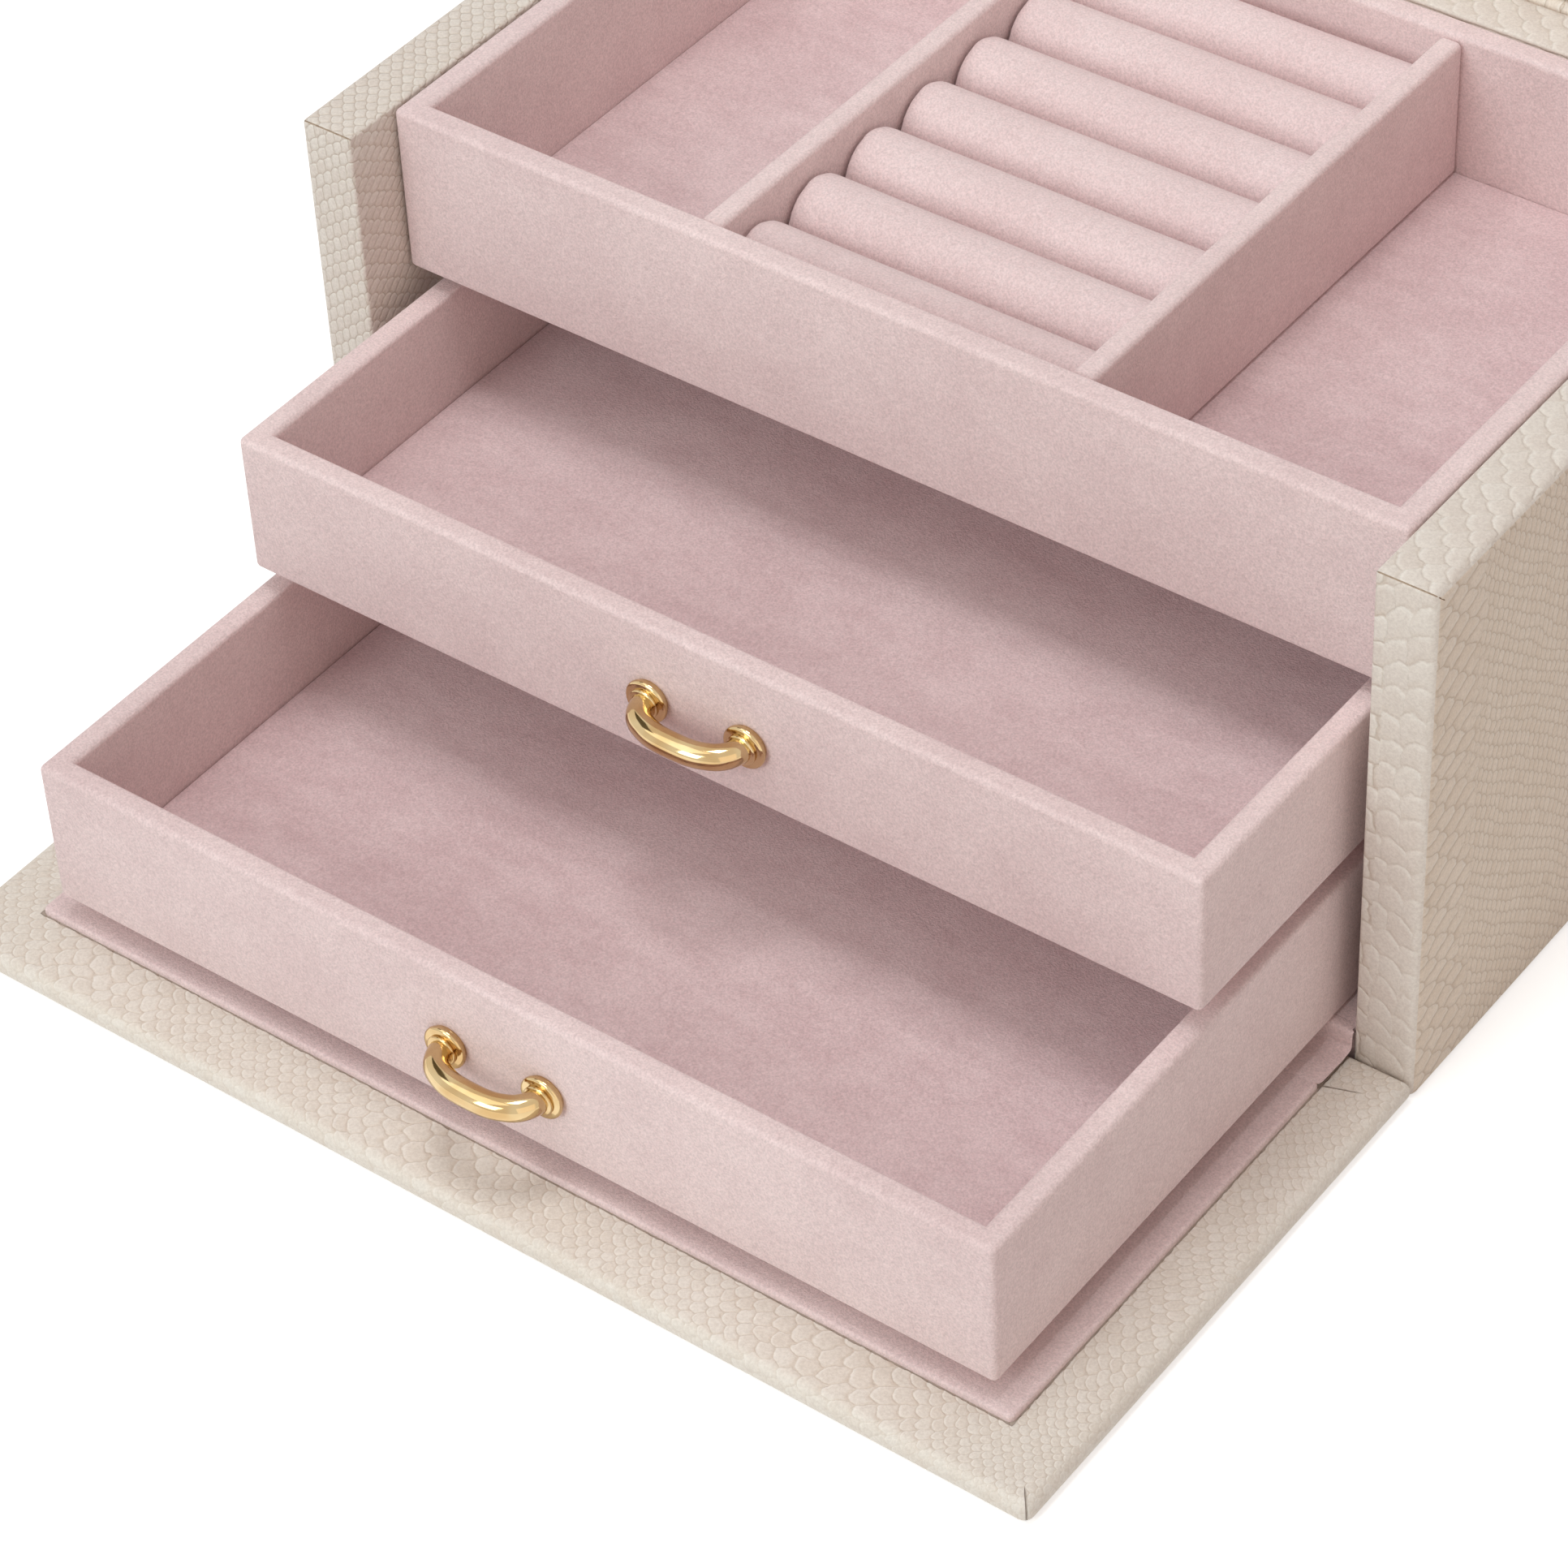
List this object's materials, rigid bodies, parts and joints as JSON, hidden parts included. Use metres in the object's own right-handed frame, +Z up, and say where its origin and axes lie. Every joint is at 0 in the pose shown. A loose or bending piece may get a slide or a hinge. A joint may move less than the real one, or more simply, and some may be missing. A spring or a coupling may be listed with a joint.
{
  "type": "jewellery chest",
  "caption": "Leather-covered jewellery chest with a drop-down front, suede drawers on bow handles, a fixed tray with ring rolls and a hinged mirror lid.",
  "frame": {"origin": "middle of the carcass's flat underside, on the table", "axes": "+X to the right seen from the front, -Y towards the front flap, +Z up"},
  "size_m": [0.26, 0.3319, 0.2899],
  "materials": {
    "leather": "cream faux leather embossed with a reptile scale, satin",
    "suede": "dusty pink microfibre suede with a soft brushed nap",
    "roll_suede": "lighter pink plush over foam",
    "board": "fibreboard, covered",
    "felt": "beige felt on the underside",
    "gold": "polished gold plate",
    "steel": "zinc plated",
    "mirror": "silvered glass"
  },
  "bodies": {
    "carcass": {"left_wall": "leather", "right_wall": "leather", "back_wall": "leather", "bottom_board": "board", "base_cover": "felt", "floor_lining": "suede", "back_lining": "suede", "lower_left_runner": "suede", "lower_right_runner": "suede", "drawer_shelf": "suede", "upper_left_runner": "suede", "upper_right_runner": "suede", "front_hinge_strip": "suede", "lid_hinge_strip": "leather", "wall_magnets": "steel", "tray_front": "suede", "tray_back": "suede", "tray_left_side": "suede", "tray_right_side": "suede", "tray_floor": "board", "tray_lining": "suede", "left_divider": "suede", "right_divider": "suede", "ring_roll_1": "roll_suede", "ring_roll_2": "roll_suede", "ring_roll_3": "roll_suede", "ring_roll_4": "roll_suede", "ring_roll_5": "roll_suede", "ring_roll_6": "roll_suede", "ring_roll_7": "roll_suede"},
    "flap": {"flap_board": "leather", "flap_lining": "suede", "flap_magnets": "steel"},
    "lid": {"lid_board": "leather", "lid_lining": "suede", "mirror": "mirror"},
    "upper_drawer": {"upper_drawer_front": "suede", "upper_drawer_back": "suede", "upper_drawer_left_side": "suede", "upper_drawer_right_side": "suede", "upper_drawer_floor": "board", "upper_drawer_pad": "suede", "upper_handle": "gold", "upper_handle_screws": "steel"},
    "lower_drawer": {"lower_drawer_front": "suede", "lower_drawer_back": "suede", "lower_drawer_left_side": "suede", "lower_drawer_right_side": "suede", "lower_drawer_floor": "board", "lower_drawer_pad": "suede", "lower_handle": "gold", "lower_handle_screws": "steel"}
  },
  "joints": [
    {"name": "lid_hinge", "type": "hinge", "parent": "carcass", "child": "lid", "pos_m": [0, 0.0845, 0.1245], "axis": [1, 0, 0], "range_deg": [0, 100]},
    {"name": "flap_hinge", "type": "hinge", "parent": "carcass", "child": "flap", "pos_m": [0, -0.08645, 0.00265], "axis": [-1, 0, 0], "range_deg": [-90, 2]},
    {"name": "upper_drawer_slide", "type": "slide", "parent": "carcass", "child": "upper_drawer", "axis": [0, -1, 0], "range_m": [-0.0585, 0.0678]},
    {"name": "lower_drawer_slide", "type": "slide", "parent": "carcass", "child": "lower_drawer", "axis": [0, -1, 0], "range_m": [-0.1233, 0.003]}
  ]
}
